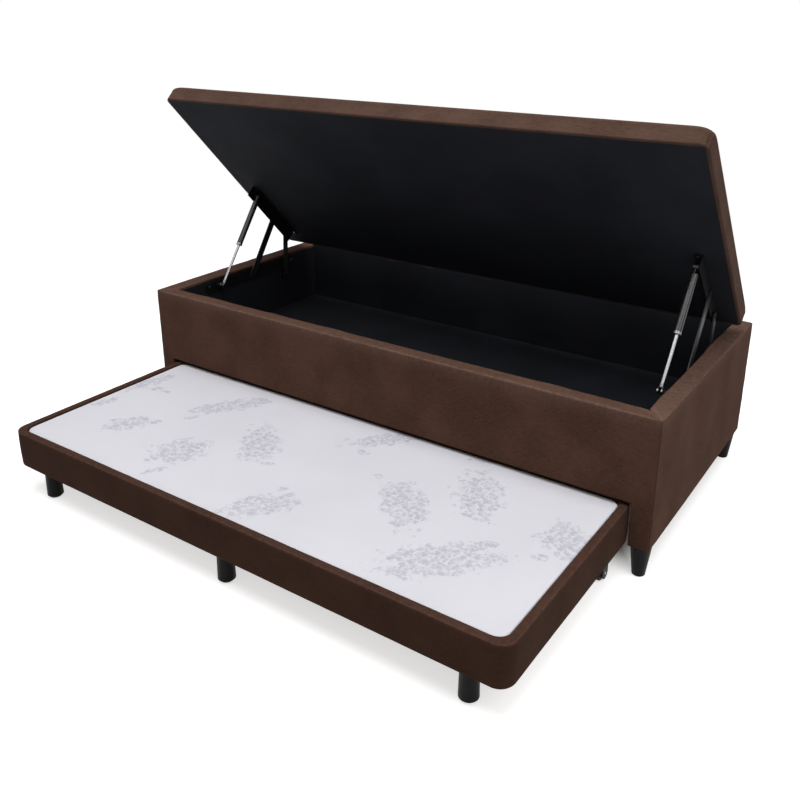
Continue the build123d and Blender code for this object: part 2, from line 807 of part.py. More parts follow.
# Joint places and turns, for the record
strut_open_length = hypot(strut_top[0] - strut_base[0], strut_top[1] - strut_base[1])
strut_closed_length = hypot(strut_top_closed[0] - strut_base[0], strut_top_closed[1] - strut_base[1])
print("main_base", main_base, "main_top", main_top)
print("rear_base", rear_base, "rear_top", rear_top)
print("strut_base", strut_base, "strut_top", strut_top)
print("main_turn", link_turn(main_base, main_link_along, main_link_drop))
print("rear_turn", link_turn(rear_base, rear_link_along, rear_link_drop))
print("strut_turn", link_turn(strut_base, strut_along, strut_drop))
print("lid_turn", lid_angle)
print("strut_slide", strut_closed_length - strut_open_length)
print("trundle_slide", trundle_out)
print("roller_axle_z", roller_radius)
print("parts", len(parts))
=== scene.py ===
import math

import bpy
from mathutils import Matrix, Vector, noise


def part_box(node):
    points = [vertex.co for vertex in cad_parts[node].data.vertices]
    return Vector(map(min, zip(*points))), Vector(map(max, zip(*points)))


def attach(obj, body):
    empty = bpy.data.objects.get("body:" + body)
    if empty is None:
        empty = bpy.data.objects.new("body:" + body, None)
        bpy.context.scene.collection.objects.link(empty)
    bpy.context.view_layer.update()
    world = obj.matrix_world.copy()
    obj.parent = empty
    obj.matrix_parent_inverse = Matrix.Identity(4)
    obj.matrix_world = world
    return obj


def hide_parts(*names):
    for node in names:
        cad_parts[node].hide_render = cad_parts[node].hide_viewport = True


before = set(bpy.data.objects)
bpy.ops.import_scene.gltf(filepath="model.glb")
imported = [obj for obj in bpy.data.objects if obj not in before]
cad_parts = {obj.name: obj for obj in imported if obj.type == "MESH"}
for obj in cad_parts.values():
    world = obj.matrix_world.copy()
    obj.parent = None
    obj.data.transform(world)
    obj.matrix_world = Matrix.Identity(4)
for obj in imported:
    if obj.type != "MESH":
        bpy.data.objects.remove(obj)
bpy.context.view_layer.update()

# The photographer's studio: a white floor that runs on into white, with the bed's shadow painted
# into its glow, a broad soft lamp overhead and a smaller one at the right, and a camera standing
# to the right of the bed.
camera_place = Vector((1.518, -2.099, 1.466))
camera_azimuth = math.radians(34.66)
camera_elevation = math.radians(19.58)
camera_lens = 39.39
camera_film = 36.0
camera_rise = -0.10625
white = (1, 1, 1, 1)
floor_size = 60.0
floor_colour = (0.73, 0.73, 0.735, 1.0)
floor_glow = (0.47, 0.64)  # its glow under the trundle, lower there as painted shadow, and away from it
floor_fade = (2.2, 5.5)  # where it starts to turn white, and is white
tray_ground = ((0.0, -0.415, 0.0), (0.874, 0.357, 9.0))  # its middle and half its size
tray_painted_shadow = (-0.34, 0.0)  # painted shadow: from its edge, where it is full and ends
# The box's painted shadow: its middle and half its size, and from its edge, where it is full and
# ends.
box_ground = ((0.0, 0.332, 0.0), (0.94, 0.44, 9.0))
box_painted_shadow = (-0.13, -0.01)
sky_strength = 0.30


def give(tree, socket, value):
    """Links a socket to another one, or sets it to a plain value."""
    if isinstance(value, bpy.types.NodeSocket):
        tree.links.new(value, socket)
    else:
        socket.default_value = value


def wire(tree, node, **named):
    """Gives a node's sockets their values by name."""
    for name, value in named.items():
        give(tree, node.inputs[name.replace("_", " ")], value)


def add(tree, kind, settings=None, *values, **named):
    """A shader node with its settings, and its sockets given in order and then by name."""
    made = tree.nodes.new(kind)
    for name, value in (settings or {}).items():
        setattr(made, name, value)
    for socket, value in zip(made.inputs, values):
        give(tree, socket, value)
    wire(tree, made, **named)
    return made


def reckon(tree, operation, *values, clamp=False):
    """A sum, a product or the like of sockets and numbers."""
    settings = {"operation": operation, "use_clamp": clamp}
    return add(tree, "ShaderNodeMath", settings, *values).outputs[0]


def reckon_place(tree, operation, *places):
    """A sum, a difference or the like of points in space."""
    return add(tree, "ShaderNodeVectorMath", {"operation": operation}, *places).outputs[0]


def carry(tree, value, low, high, to_low=0.0, to_high=1.0, curve="LINEAR"):
    """A value carried from one range to another, and held at its ends."""
    settings = {"interpolation_type": curve}
    ranges = (low, high, to_low, to_high)
    return add(tree, "ShaderNodeMapRange", settings, value, *ranges).outputs[0]


def own_place(tree):
    """Where a point lies in its piece's own frame."""
    return add(tree, "ShaderNodeTexCoord").outputs["Object"]


def seen_straight(tree):
    """One where the camera, a reflection or clear glass sees the surface, else zero."""
    path = add(tree, "ShaderNodeLightPath").outputs
    either = reckon(tree, "MAXIMUM", path["Is Camera Ray"], path["Is Glossy Ray"])
    return reckon(tree, "MAXIMUM", either, path["Is Transmission Ray"])


def past_edges(tree, place, middle, reach):
    """How far a point of the floor lies outside a rectangle, less than zero inside it."""
    from_middle = reckon_place(tree, "ABSOLUTE", reckon_place(tree, "SUBTRACT", place, middle))
    beyond = reckon_place(tree, "SUBTRACT", from_middle, reach)
    sides = add(tree, "ShaderNodeSeparateXYZ", None, beyond).outputs
    return reckon(tree, "MAXIMUM", sides["X"], sides["Y"])


def studio_floor():
    size = floor_size / 2
    mesh = bpy.data.meshes.new("studio_floor")
    corners = [(-size, -size, 0), (size, -size, 0), (size, size, 0), (-size, size, 0)]
    mesh.from_pydata(corners, [], [(0, 1, 2, 3)])
    floor = bpy.data.objects.new("studio_floor", mesh)
    bpy.context.scene.collection.objects.link(floor)
    paint = bpy.data.materials.new("studio_white")
    paint.use_nodes = True
    tree = paint.node_tree
    tree.nodes.clear()
    place = own_place(tree)
    # The glow is lowered under and round the trundle and the box: a painted shadow.
    past_tray = past_edges(tree, place, *tray_ground)
    past_box = past_edges(tree, place, *box_ground)
    tray_shadow_glow = carry(tree, past_tray, *tray_painted_shadow, *floor_glow, "SMOOTHSTEP")
    box_shadow_fade = carry(tree, past_box, *box_painted_shadow, curve="SMOOTHSTEP")
    glow_with_painted_shadows = reckon(tree, "MULTIPLY", tray_shadow_glow, box_shadow_fade)
    glow = reckon(tree, "MULTIPLY", seen_straight(tree), glow_with_painted_shadows)
    shaded = add(tree, "ShaderNodeBsdfDiffuse", Color=floor_colour)
    shining = add(tree, "ShaderNodeEmission", Color=white, Strength=glow)
    near = add(tree, "ShaderNodeAddShader", None, shaded.outputs[0], shining.outputs[0])
    away = add(tree, "ShaderNodeVectorMath", {"operation": "LENGTH"}, place).outputs["Value"]
    run_out = carry(tree, away, *floor_fade, curve="SMOOTHSTEP")
    fade = reckon(tree, "MULTIPLY", seen_straight(tree), run_out)
    far = add(tree, "ShaderNodeEmission", Color=white, Strength=1.0)
    whole = add(tree, "ShaderNodeMixShader", None, fade, near.outputs[0], far.outputs[0])
    add(tree, "ShaderNodeOutputMaterial", Surface=whole.outputs[0])
    mesh.materials.append(paint)


def studio_sky():
    world = bpy.data.worlds.new("studio_sky")
    world.use_nodes = True
    tree = world.node_tree
    strength = add(tree, "ShaderNodeMix", {"data_type": "FLOAT"}, Factor=seen_straight(tree),
                   A=sky_strength, B=1.0)
    wire(tree, tree.nodes["Background"], Color=white, Strength=strength.outputs["Result"])
    bpy.context.scene.world = world


def set_up(name, gear, place, ahead):
    """Puts a lamp or the camera at a place, turned to point ahead."""
    stand = bpy.data.objects.new(name, gear)
    stand.location = place
    stand.rotation_mode = "QUATERNION"
    stand.rotation_quaternion = ahead.to_track_quat("-Z", "Y")
    bpy.context.scene.collection.objects.link(stand)
    return stand


def soft_lamp(name, place, aim, size, power):
    lamp = bpy.data.lights.new(name, "AREA")
    lamp.shape = "RECTANGLE"
    lamp.size, lamp.size_y = size
    lamp.energy = power
    set_up(name, lamp, place, Vector(aim) - Vector(place))


def photograph_camera():
    lens = bpy.data.cameras.new("camera")
    lens.lens = camera_lens
    lens.sensor_width = camera_film
    lens.shift_y = camera_rise
    flat, drop = math.cos(camera_elevation), math.sin(camera_elevation)
    ahead = Vector((-math.sin(camera_azimuth) * flat, math.cos(camera_azimuth) * flat, -drop))
    bpy.context.scene.camera = set_up("camera", lens, camera_place, ahead)


studio_floor()
studio_sky()
soft_lamp("overhead_lamp", place=(0.1, -0.95, 4.2), aim=(0.0, -0.1, 0.3), size=(4.4, 3.0),
          power=158.0)
soft_lamp("right_lamp", place=(3.2, -0.3, 3.0), aim=(0.5, 0.2, 0.4), size=(2.0, 2.0), power=38.0)
photograph_camera()
bpy.context.scene.view_settings.view_transform = "Standard"


# The bed's feet: black plastic mouldings under the four corners, and three plain posts under
# the trundle's front edge, each turned up tight on a zinc-plated threaded stud.
noise_range = (0.3, 0.7)


def mix_colours(tree, share, first, second):
    """A colour between two, where the share and each colour may be a socket."""
    blend = add(tree, "ShaderNodeMix", {"data_type": "RGBA"}, share)
    for socket, colour in ((blend.inputs[6], first), (blend.inputs[7], second)):
        give(tree, socket, colour if isinstance(colour, bpy.types.NodeSocket) else (*colour, 1))
    return blend.outputs[2]


def grain(tree, size, detail=3.0, stretch=(1, 1, 1)):
    """Soft noise of a size in metres, stretched along the axes, as a value from 0 to 1."""
    scale = [1 / (size * s) for s in stretch]
    sized = add(tree, "ShaderNodeMapping", Vector=own_place(tree), Scale=scale)
    speckle = add(tree, "ShaderNodeTexNoise", Vector=sized.outputs[0], Scale=1.0, Detail=detail)
    return speckle.outputs["Fac"]


def between(tree, speckle, low, high):
    """Noise carried from the range where it mostly lies to low to high."""
    return carry(tree, speckle, *noise_range, low, high)


def finish_of(name, roughness, **looks):
    """A new material, ready for its colour and relief."""
    material = bpy.data.materials.new(name)
    material.use_nodes = True
    tree = material.node_tree
    wire(tree, tree.nodes["Principled BSDF"], Roughness=roughness, **looks)
    return material, tree


def coated(material, colour, height, depth, strength, **looks):
    """The material with its colour, and with bump of a depth in metres on its surface."""
    tree = material.node_tree
    bump = add(tree, "ShaderNodeBump", Height=height, Distance=depth, Strength=strength)
    wire(tree, tree.nodes["Principled BSDF"], Base_Color=colour, Normal=bump.outputs["Normal"],
         **looks)
    return material


def dress(material, slot, *nodes):
    """Gives the named solid pieces their finish."""
    for name in nodes:
        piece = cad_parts[name]
        piece.data.materials.clear()
        piece.data.materials.append(material)


def moulded_plastic(name, dark, light):
    material, tree = finish_of(name, 0.42, Specular_IOR_Level=0.10)
    colour = mix_colours(tree, grain(tree, 0.03), dark, light)
    rough = between(tree, grain(tree, 0.012), 0.36, 0.52)
    return coated(material, colour, grain(tree, 0.0009, 2.0), 0.0001, 0.5, Roughness=rough)


def plated_steel(name, dark, light, smooth, rough):
    material, tree = finish_of(name, rough, Metallic=1.0)
    colour = mix_colours(tree, grain(tree, 0.01, 4.0), dark, light)
    brushed = grain(tree, 0.002, 3.0, (1, 6, 1))
    return coated(material, colour, brushed, 0.00004, 0.4,
                  Roughness=between(tree, brushed, smooth, rough))


black_plastic = moulded_plastic("black_plastic", (0.003, 0.003, 0.003), (0.006, 0.006, 0.006))
zinc_plate = plated_steel("zinc_plate", (0.32, 0.32, 0.33), (0.50, 0.50, 0.52), 0.22, 0.42)
dress(black_plastic, "black_plastic", "box_feet", "trundle_feet")
dress(zinc_plate, "steel", "foot_studs")

# The carcase: planed softwood rails, studs and bearers, nailed up and faced with thin raw
# boards. It shows only from below and in the trundle's bay.
walls = ("front", "back", "left", "right")


def softwood(name, dark, light, ring):
    material, tree = finish_of(name, 0.72)
    rings = between(tree, grain(tree, 0.010, 4.0, (18, 1, 1)), 0, 1)
    streaks = grain(tree, 0.003, 2.0, (40, 1, 1))
    colour = mix_colours(tree, rings, dark, light)
    colour = mix_colours(tree, between(tree, streaks, 0, 0.25), colour, ring)
    return coated(material, colour, streaks, 0.0003, 0.4)


def raw_board(name, dark, light):
    material, tree = finish_of(name, 0.8)
    chips = add(tree, "ShaderNodeTexVoronoi", {"feature": "F1"}, Vector=own_place(tree),
                Scale=260.0)
    colour = mix_colours(tree, chips.outputs["Color"], dark, light)
    colour = mix_colours(tree, between(tree, grain(tree, 0.08), 0, 0.35), colour, dark)
    return coated(material, colour, chips.outputs["Distance"], 0.0002, 0.4)


pine = softwood("pine", (0.40, 0.24, 0.11), (0.60, 0.42, 0.22), (0.30, 0.17, 0.07))
board = raw_board("board", (0.14, 0.085, 0.045), (0.25, 0.165, 0.095))
dress(pine, "pine", "floor_bearers", *[side + "_timber" for side in walls])
dress(board, "board", "storage_floor", *[side + "_board" for side in walls])

# The lining of the storage space: thin black spunbonded cloth, stapled over the floor board
# and the inside of the four walls. It lies in shallow wrinkles and creases at the corners.
lining_thickness = 0.003
lining_wrinkle = 0.0020
lining_lip = 0.0085  # its turned edge above the back wall's lining
lining_steps = (0.004, 0.016)  # between the mesh's points, at the edges and inside
lining_still = 0.03  # how far in from its edges it lies flat
lining_folds = ((0.11, 0.6, 0.0, 0.7, 1.3, 0.0), (0.045, 0.4, 0.0))


def black_lining_cloth(name, dark, light):
    """Spunbonded cloth: fibres felted together and welded in a grid of fine dots."""
    material, tree = finish_of(name, 0.72, Specular_IOR_Level=0.05)
    welds = add(tree, "ShaderNodeTexVoronoi", {"feature": "F1"}, Vector=own_place(tree),
                Scale=420.0, Randomness=0.2)
    cloudy = between(tree, grain(tree, 0.22, 4.0), 0, 1)
    fibres = grain(tree, 0.0016, 4.0)
    colour = mix_colours(tree, cloudy, dark, light)
    colour = mix_colours(tree, between(tree, fibres, 0, 0.5), colour, light)
    return coated(material, colour, welds.outputs["Distance"], 0.0003, 0.5,
                  Roughness=between(tree, fibres, 0.6, 0.85))


def graded(low, high, fine, coarse, growth=1.35):
    """Places from low to high that lie closer together towards both ends."""
    half = (high - low) / 2
    steps = [0.0]
    step = fine
    while steps[-1] + step < half - step / 2:
        steps.append(steps[-1] + step)
        step = min(step * growth, coarse)
    return [low + s for s in steps] + [(low + high) / 2] + [high - s for s in reversed(steps)]


def waves(point, layers, seed=0.0):
    """The sum of smooth waves, each as (length, height, seed) and its stretch along the axes."""
    total = 0.0
    for length, height, own, *stretch in layers:
        spot = Vector([p * s for p, s in zip(point, stretch or (1, 1, 1))]) / length
        total += height * (0.5 + 0.5 * noise.noise(spot + Vector([seed + own] * 3)))
    return total


def make_piece(name, points, faces, material, body, sharp=38.0):
    """A mesh piece in the bed's own frame, smooth apart from its sharp edges."""
    mesh = bpy.data.meshes.new(name)
    mesh.from_pydata([tuple(p) for p in points], [], faces)
    mesh.validate()
    mesh.update()
    mesh.shade_smooth()
    mesh.set_sharp_from_angle(angle=math.radians(sharp))
    mesh.materials.append(material)
    piece = bpy.data.objects.new(name, mesh)
    bpy.context.scene.collection.objects.link(piece)
    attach(piece, body)
    return piece


def grid_faces(across, along, start=0, flip=False):
    """Quads over a grid of points numbered row by row."""
    faces = []
    for j in range(along - 1):
        for i in range(across - 1):
            a = start + j * across + i
            quad = (a, a + 1, a + across + 1, a + across)
            faces.append(quad[::-1] if flip else quad)
    return faces


def edge_loop(across, along, start=0):
    """The point numbers round a grid's border, anticlockwise."""
    front = [start + i for i in range(across)]
    right = [start + j * across + across - 1 for j in range(1, along)]
    back = [start + (along - 1) * across + i for i in range(across - 2, -1, -1)]
    left = [start + j * across for j in range(along - 2, 0, -1)]
    return front + right + back + left


def band(first, second):
    """Quads between two closed loops of as many points."""
    count = len(first)
    return [
        (first[i], second[i], second[(i + 1) % count], first[(i + 1) % count])
        for i in range(count)
    ]


def thin_cloth(place, width, length, wrinkle, seed, steps=lining_steps):
    """A cloth over a rectangle: place turns (across, along, height) into the bed's frame."""
    xs = graded(0.0, width, *steps)
    ys = graded(0.0, length, *steps)
    upper = []
    for y in ys:
        for x in xs:
            still = min(1.0, min(x, y, width - x, length - y) / lining_still)
            fold = waves((x, y, 0.0), lining_folds, seed)
            upper.append(place @ Vector((x, y, lining_thickness - wrinkle * fold * still)))
    lower = [place @ Vector((x, y, 0.0)) for y in ys for x in xs]
    size = len(xs), len(ys)
    faces = grid_faces(*size) + grid_faces(*size, len(upper), True)
    faces += band(edge_loop(*size, len(upper)), edge_loop(*size))
    return upper + lower, faces


def lining_panel(node, across, along, inward, seed, lip=0.0):
    """The lining over one side of the storage space, on the side that faces inward."""
    low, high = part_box(node)
    width = sum(abs(a) * (h - l) for a, h, l in zip(across, high, low))
    length = sum(abs(a) * (h - l) for a, h, l in zip(along, high, low)) + lip
    corner = [
        l if a + b + n > 0 else h
        for a, b, n, l, h in zip(across, along, inward, low, high)
    ]
    turn = Matrix((across, along, inward)).transposed().to_4x4()
    place = Matrix.Translation(Vector(corner)) @ turn
    points, faces = thin_cloth(place, width, length, lining_wrinkle, seed)
    panel = make_piece("cloth_" + node, points, faces, lining_cloth, "box")
    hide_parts(node)


lining_cloth = black_lining_cloth("lining_cloth", (0.0110, 0.0117, 0.0146),
                                  (0.0196, 0.0208, 0.0258))

lining_panel("lining_floor", (1, 0, 0), (0, 1, 0), (0, 0, 1), 3.0)
lining_panel("lining_back", (1, 0, 0), (0, 0, 1), (0, -1, 0), 11.0, lining_lip)
lining_panel("lining_front", (-1, 0, 0), (0, 0, 1), (0, 1, 0), 17.0)
lining_panel("lining_left", (0, 1, 0), (0, 0, 1), (1, 0, 0), 23.0)
lining_panel("lining_right", (0, -1, 0), (0, 0, 1), (-1, 0, 0), 29.0)

# The box's upholstery: brown suede cloth over thin wadding, drawn over each wall board and
# over a soft pad along its top edge, sewn together down the four corners.
half_length = 0.94
box_front, box_back = -0.108, 0.772
box_middle = (box_front + box_back) / 2
bed_length, bed_width = 2 * half_length, box_back - box_front
leg_height = 0.098
suede_thickness = 0.010
soft_edge = 50.0  # degrees up to which cloth is shaded smooth
rim_height = 0.486
rim_width = 0.060
rim_fall = 0.003
rim_underside = 0.474
rim_outer_round = 0.006
rim_inner_round = 0.006
rim_tuck = 0.0035
wall_steps = (0.001, 0.014)  # between the mesh's points, as for the lining
rim_steps = (0.002, 0.004)
top_from, inside_from = 0.7, 0.3  # how far a face turns to count as either
along_steps = (0.0014, 0.012, 1.06)
doorway_half = 0.880
doorway_top = 0.227
doorway_clear = 0.002
jamb_face = 0.883
jamb_from, jamb_to = 0.0103, 0.0695
jamb_clear = 0.0006
jamb_bite = 0.0002
jamb_thinness = 0.8
jamb_wrinkle = 0.0012
jamb_steps = (0.004, 0.010)
fan_start = 0.875  # where the skin's upright rows start to lean to the mitre
hem_tuck = 0.003
hem_draw = 0.002
seam_depth = 0.0028
seam_width = 0.0026
# The uneven wadding as waves, and the cloth's puckers, seams, folds and bulge.
wall_swell = ((0.30, 0.7, 0.0), (0.11, 0.3, 5.0))
wall_puckers = ((0.022, 1.0, 9.0, 1, 1, 0.8),)
rim_lumps = ((0.05, 0.0014, 13.0),)
rim_waves = ((0.16, 1.0, 17.0, 1, 1, 0),)
swell_depth = 0.0020
pucker_depth = 0.0012
pucker_reach = 0.045
pucker_least, pucker_near_seam = 0.25, 0.9
fold_lean = 1.6
fold_start = 0.004
fold_step = 0.002
fold_depth = 0.0026
fold_length = 0.050
rim_wave_floor = 0.48
rim_waviness = 0.014
rim_bulge = (0.88, 0.50)
rim_bulge_length = 0.055
rim_bulge_height = 0.0045
painted_edge_highlight = ((0.40, 0.007), (0.38, 0.028))  # painted highlight on the rim's outer edge: how light, and how wide
# How much paler the corner's folded flap is painted.
fold_flap_paler = 0.25


def brushed_suede(name, dark, light, warm, painted_light):
    """Suede cloth: a short nap over a faint horizontal weave, lightened by painted highlight."""
    material, tree = finish_of(
        name, 0.9, Specular_IOR_Level=0.03, Sheen_Weight=0.035, Sheen_Roughness=0.4,
        Sheen_Tint=(0.66, 0.52, 0.45, 1.0),
    )
    streaks = grain(tree, 0.0045, 3.0, (14.0, 14.0, 1.0))
    slubs = grain(tree, 0.0020, 3.0, (9.0, 9.0, 1.0))
    nap = grain(tree, 0.0030, 4.0)
    weave = grain(tree, 0.0016, 1.0, (5.0, 5.0, 0.5))
    brushed = between(tree, grain(tree, 0.15, 5.0), -0.3, 1.3)
    colour = mix_colours(tree, brushed, dark, light)
    for threads, share, tone in ((streaks, 0.45, dark), (slubs, 0.40, warm), (nap, 0.35, warm)):
        colour = mix_colours(tree, between(tree, threads, 0.0, share), colour, tone)
    # Painted highlight: each point's share, stored on its mesh, mixes in the last colour.
    highlight_share = add(tree, "ShaderNodeAttribute", {"attribute_name": "rubbed"}).outputs["Fac"]
    patches = between(tree, grain(tree, 0.012), 0.35, 1.15)
    colour = mix_colours(tree, reckon(tree, "MULTIPLY", highlight_share, patches, clamp=True), colour, painted_light)
    return coated(material, colour, reckon(tree, "ADD", weave, nap), 0.0007, 0.7,
                  Roughness=between(tree, nap, 0.86, 1.0))


def held(value, low, high):
    """The value, kept within a range."""
    return min(max(value, low), high)


def falling_off(distance, reach):
    """One at no distance, falling off smoothly to nothing past the reach."""
    return math.exp(-((distance / reach) ** 2))


def quarter_turn(steps):
    """The sine and cosine at each step of a quarter turn, past its start."""
    angles = [math.radians(90 * i / steps) for i in range(1, steps + 1)]
    return [(math.sin(a), math.cos(a)) for a in angles]


def rounded_up(depth, top, radius, steps):
    """Rows of a section from an upright face, round an outer edge, to its top."""
    return [(depth + radius * (1 - c), top - radius * (1 - s), -c, s)
            for s, c in quarter_turn(steps)]


def rounded_down(depth, top, radius, steps):
    """Rows of a section from the top, round an inner edge, to an upright face."""
    return [(depth - radius * (1 - s), top - radius * (1 - c), s, c)
            for s, c in quarter_turn(steps)]


def wall_profile():
    """A wall skin's section as (depth, height, outward depth, outward height), outside first."""
    heights = graded(leg_height, doorway_top, *wall_steps)
    heights += graded(doorway_top, rim_height - rim_outer_round, *wall_steps)[1:]
    rows = [(0.0, z, -1.0, 0.0) for z in heights]
    rows += rounded_up(0.0, rim_height, rim_outer_round, 6)
    inner_face = rim_width - rim_tuck / 2
    for depth in graded(rim_outer_round, inner_face - rim_inner_round, *rim_steps)[1:]:
        rows.append((depth, rim_height - rim_fall * depth / rim_width, 0.0, 1.0))
    rows += rounded_down(inner_face, rim_height - rim_fall, rim_inner_round, 5)
    shown = len(rows)
    rows.append((rim_width - rim_tuck, rim_underside, 0.0, 0.0))
    rows.append(((rim_width + suede_thickness) / 2, rim_underside, 0.0, 0.0))
    rows += [(suede_thickness, min(z, rim_underside), 0.0, 0.0) for z in reversed(heights)]
    return rows, len(heights), shown


def corner_reach(depth):
    """How far short of the corner a wall skin ends at a depth, on the mitre."""
    if depth < rim_outer_round:
        return rim_outer_round - (rim_outer_round - depth) / math.sqrt(2)
    return depth


def rounded_depth(depth, to_corner):
    """The depth at a distance from the corner, with the upright corner edge rounded."""
    inner = rim_outer_round - depth
    beyond = rim_outer_round - to_corner
    if inner <= 0 or beyond <= 0:
        return depth
    return rim_outer_round - math.sqrt(max(0.0, inner ** 2 - beyond ** 2))


def softness(point, to_corner, depth, on_top, inside):
    """How far the cloth sinks below the tight shape at a point of a wall's skin."""
    to_mitre = max(0.0, (to_corner - depth) / math.sqrt(2))
    near_seam = math.exp(-to_mitre / pucker_reach)
    pucker = waves(point, wall_puckers) * (pucker_least + pucker_near_seam * near_seam)
    sink = waves(point, wall_swell) * swell_depth + pucker * pucker_depth
    sink += falling_off(to_mitre, seam_width) * seam_depth
    if on_top:
        past_fold = to_corner - fold_lean * depth - fold_start
        step = held(past_fold / fold_step, 0.0, 1.0)
        sink += fold_depth * step * math.exp(-max(0.0, past_fold) / fold_length)
        sink += waves(point, rim_lumps)
    if inside:
        away = math.hypot(point[0] - rim_bulge[0], point[1] - rim_bulge[1])
        bulge = rim_bulge_height * falling_off(away, rim_bulge_length)
        bulge += max(0.0, waves(point, rim_waves) - rim_wave_floor) * rim_waviness
        sink -= min(rim_bulge_height, bulge)
    return sink


def highlight_and_flap_at(depth, z, to_corner, on_top, painted_top_light):
    """Painted highlight on the rim's outer edge and top, and the corner's flap painted paler."""
    from_edge = math.hypot(depth, rim_height - z)
    painted_light = sum(share * falling_off(from_edge, reach) for share, reach in painted_edge_highlight)
    if on_top:
        # The rim's top is painted lighter as if lit, by a share for each side.
        painted_light = max(painted_light, painted_top_light)
        if to_corner < fold_lean * depth + fold_start:
            painted_light += fold_flap_paler
    return painted_light


def jamb_cloth(sign):
    """The front cover's cloth turned round an end post into the doorway, tacked inside it."""
    near = jamb_from if sign < 0 else jamb_to
    corner = (sign * (jamb_face - jamb_bite), box_front + near, leg_height + jamb_clear)
    place = (
        Matrix.Translation(corner)
        @ Matrix.Rotation(-sign * math.pi / 2, 4, "Z")
        @ Matrix.Rotation(math.pi / 2, 4, "X")
        @ Matrix.Diagonal((1.0, 1.0, jamb_thinness, 1.0))
    )
    length = doorway_top - leg_height - 2 * jamb_clear
    width = jamb_to - jamb_from
    return thin_cloth(place, width, length, jamb_wrinkle, seed=51.0, steps=jamb_steps)


def wall_skin(side, length, place, painted_top_light, doorway=False):
    """The padded cloth over one wall, where place turns (along, depth, height) into the frame."""
    half = length / 2
    outer_end = half - corner_reach(0.0)
    inner_fan = fan_start - half_length + half
    stations = graded(-outer_end, outer_end, *along_steps)
    if doorway:
        clear = [x for x in stations if abs(abs(x) - doorway_half) > doorway_clear]
        stations = sorted(clear + [-doorway_half, doorway_half])
    rows, rise, shown = wall_profile()
    points, painted_light = [], []
    for x0 in stations:
        under_door = doorway and abs(x0) <= doorway_half
        for k, (depth, z, out_depth, out_up) in enumerate(rows):
            on_top, inside = out_up > top_from, out_depth > inside_from
            x = abs(x0)
            if x > inner_fan:
                fan = (half - corner_reach(depth) - inner_fan) / (outer_end - inner_fan)
                x = inner_fan + (x - inner_fan) * fan
            to_corner = half - x
            inward = rounded_depth(depth, to_corner)
            painted_light.append(highlight_and_flap_at(depth, z, to_corner, on_top, painted_top_light))
            if k < shown:
                world = place @ Vector((math.copysign(x, x0), inward, z))
                sink = softness(world, to_corner, inward, on_top, inside)
                past_round = (rim_outer_round - to_corner) / rim_outer_round
                turn = math.asin(held(past_round, 0.0, 1.0))
                x -= sink * math.sin(turn) * abs(out_depth)
                inward -= sink * out_depth * math.cos(turn)
                bottom = doorway_top if under_door and z >= doorway_top else leg_height
                if z < bottom + hem_tuck and k < rise:
                    inward += hem_draw * (1 - (z - bottom) / hem_tuck) ** 2
                z -= max(sink, 0.0) * out_up
            points.append(place @ Vector((math.copysign(x, x0), inward, z)))
    count = len(rows)
    sill = min(range(rise), key=lambda k: abs(rows[k][1] - doorway_top))
    faces = []
    for c in range(len(stations) - 1):
        hollow = doorway and abs(stations[c] + stations[c + 1]) / 2 < doorway_half
        for k in range(count):
            a, b = c * count + k, c * count + (k + 1) % count
            below = k < sill or k >= count - 1 - sill
            if not (hollow and below):
                faces.append((a, a + count, b + count, b))
        if hollow:
            a, b = c * count + count - 1 - sill, c * count + sill
            faces.append((a, a + count, b + count, b))
        if doorway and abs(abs(stations[c]) - doorway_half) < 1e-6:
            sign = 1 if stations[c] > 0 else -1
            for k in range(sill):
                a, b = c * count + k, c * count + count - 1 - k
                faces.append((a, a + 1, b - 1, b)[::sign])
    last = (len(stations) - 1) * count
    faces.append(tuple(range(count)))
    faces.append(tuple(last + k for k in reversed(range(count))))
    for sign in (-1, 1) if doorway else ():
        turned, turned_faces = jamb_cloth(sign)
        faces += [tuple(len(points) + i for i in face) for face in turned_faces]
        points += turned
        painted_light += [0.0] * len(turned)
    skin = make_piece("suede_" + side, points, faces, suede, "box", soft_edge)
    # Each point's share of painted highlight, for the suede to read.
    skin.data.attributes.new("rubbed", "FLOAT", "POINT").data.foreach_set("value", painted_light)
    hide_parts("box_cover_" + side)


def wall_place(angle, x, y):
    """Carries a wall skin from (along, depth, height) to its side of the box."""
    return Matrix.Translation((x, y, 0)) @ Matrix.Rotation(math.radians(angle), 4, "Z")


# The last colour is the one the painted highlight lightens to.
suede = brushed_suede("suede", (0.040, 0.0188, 0.0125), (0.079, 0.0395, 0.0278),
                      (0.119, 0.064, 0.045), (0.155, 0.096, 0.075))
# The rims' tops are painted lighter, most at the right, where the light falls.
wall_skin("front", bed_length, wall_place(0, 0, box_front), painted_top_light=0.24,
          doorway=True)
wall_skin("back", bed_length, wall_place(180, 0, box_back), painted_top_light=0.34)
wall_skin("right", bed_width, wall_place(90, half_length, box_middle), painted_top_light=0.58)
wall_skin("left", bed_width, wall_place(-90, -half_length, box_middle), painted_top_light=0.34)

